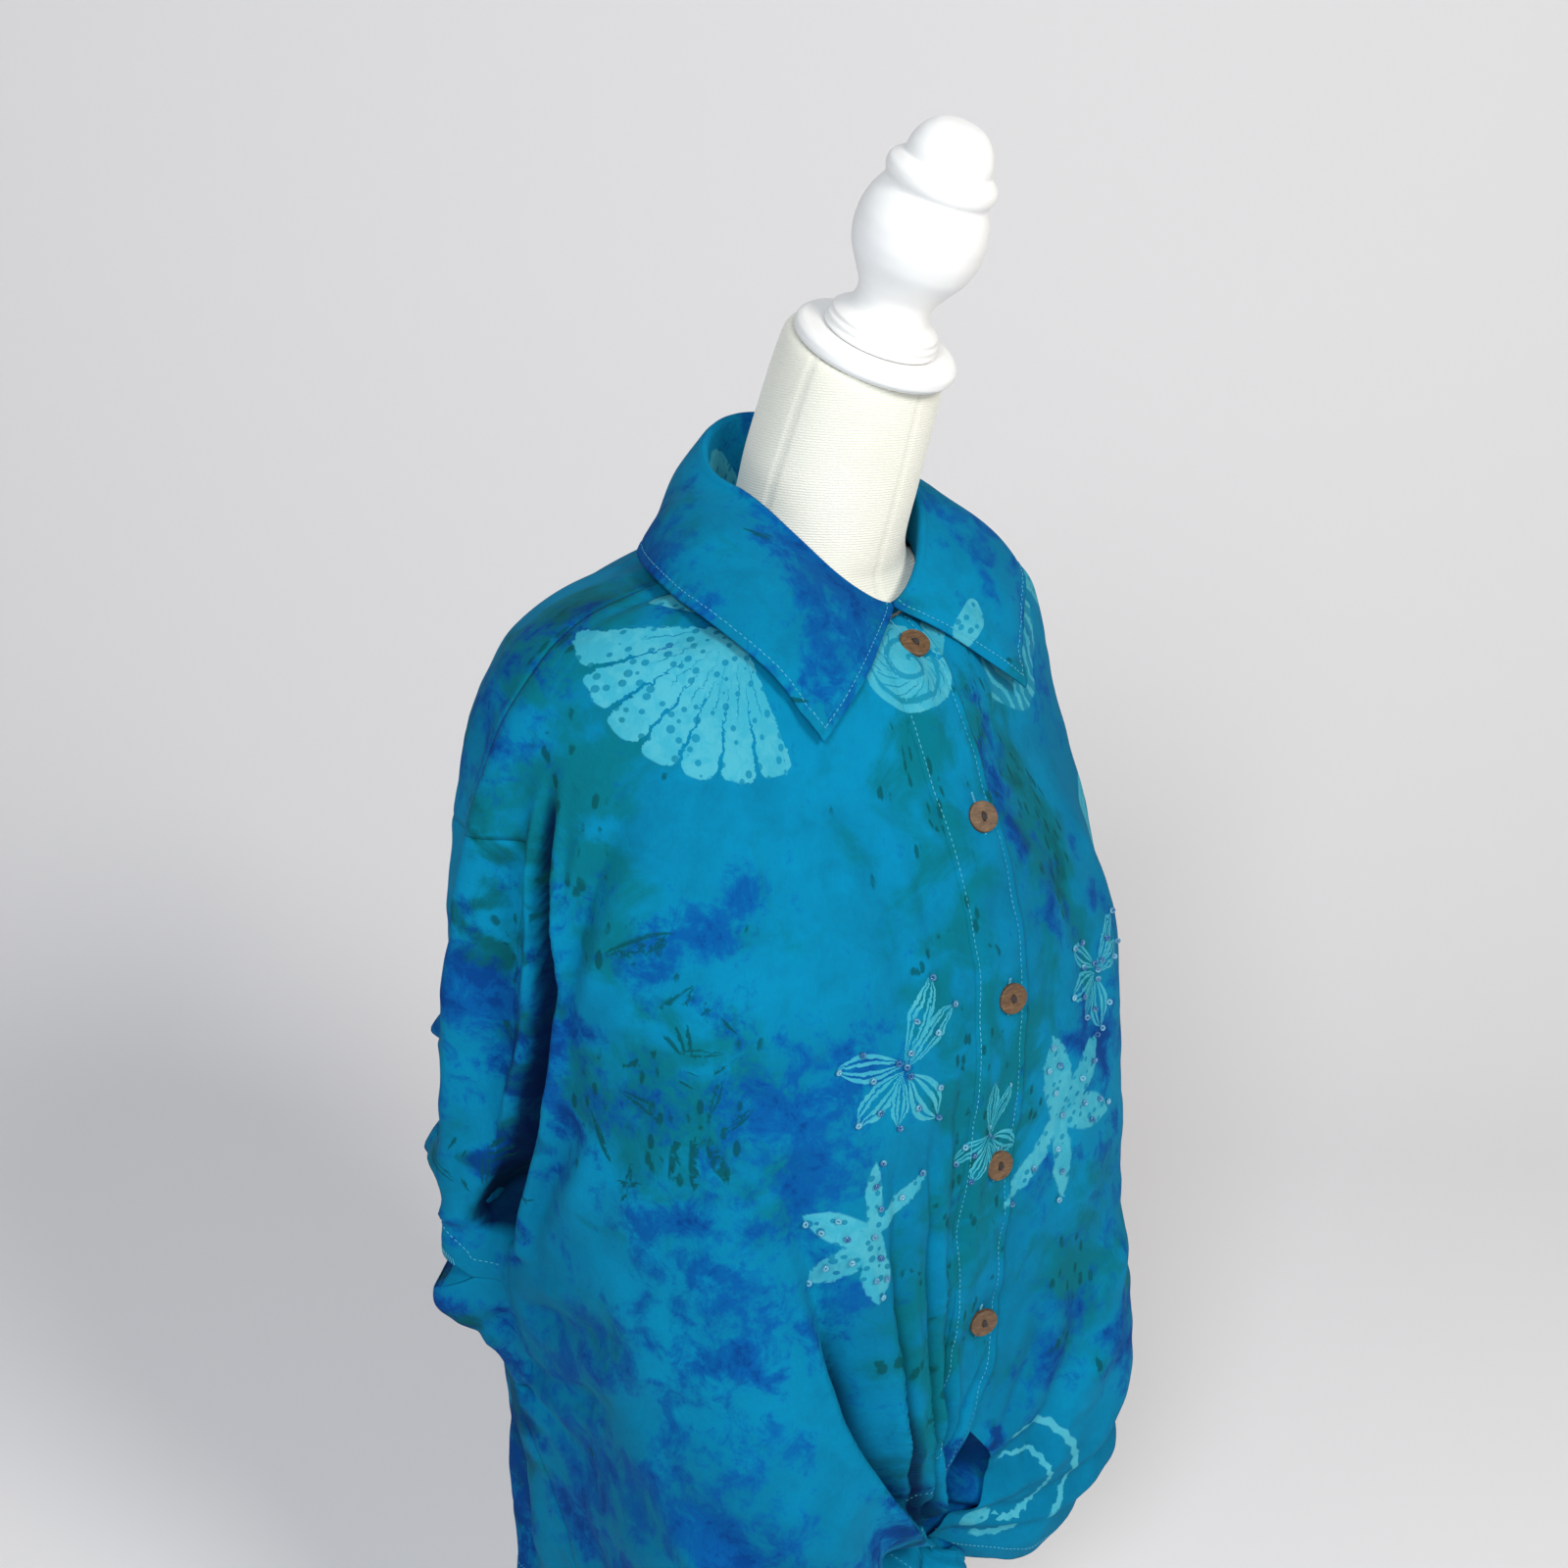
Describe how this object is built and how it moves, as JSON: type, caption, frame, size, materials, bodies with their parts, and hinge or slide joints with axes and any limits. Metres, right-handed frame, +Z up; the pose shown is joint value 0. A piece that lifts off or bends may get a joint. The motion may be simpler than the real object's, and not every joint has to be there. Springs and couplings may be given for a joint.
{
  "type": "hawaiian shirt on a limbless dress form",
  "caption": "Oversized short-sleeved aloha shirt with pointed collar, buttoned front and knotted hems, worn by a limbless dress form with a turned neck finial on a short stand.",
  "frame": {"origin": "middle of the underside of the stand's round foot, where it meets the table", "axes": "+Z up, the shirt faces -Y, +X is the wearer's left"},
  "size_m": [0.459, 0.3359, 1.1237],
  "materials": {
    "shirt_cotton": "soft woven cotton, tie-dyed turquoise, cobalt blue and green with pale wax-resist motifs",
    "button_wood": "dull brown wood",
    "form_jersey": "off-white knitted jersey stretched over the form",
    "white_paint": "turned wood under satin white paint"
  },
  "bodies": {
    "root": {"front_right": "shirt_cotton", "front_left": "shirt_cotton", "back": "shirt_cotton", "sleeve_right": "shirt_cotton", "sleeve_left": "shirt_cotton", "front_band_right": "shirt_cotton", "collar": "shirt_cotton", "knot": "shirt_cotton", "tail_right": "shirt_cotton", "tail_left": "shirt_cotton", "button_1": "button_wood", "button_2": "button_wood", "button_3": "button_wood", "button_4": "button_wood", "button_5": "button_wood", "form_torso": "form_jersey", "neck_plate": "white_paint", "neck_finial": "white_paint", "stand_pole": "white_paint", "stand_foot": "white_paint"}
  },
  "joints": []
}
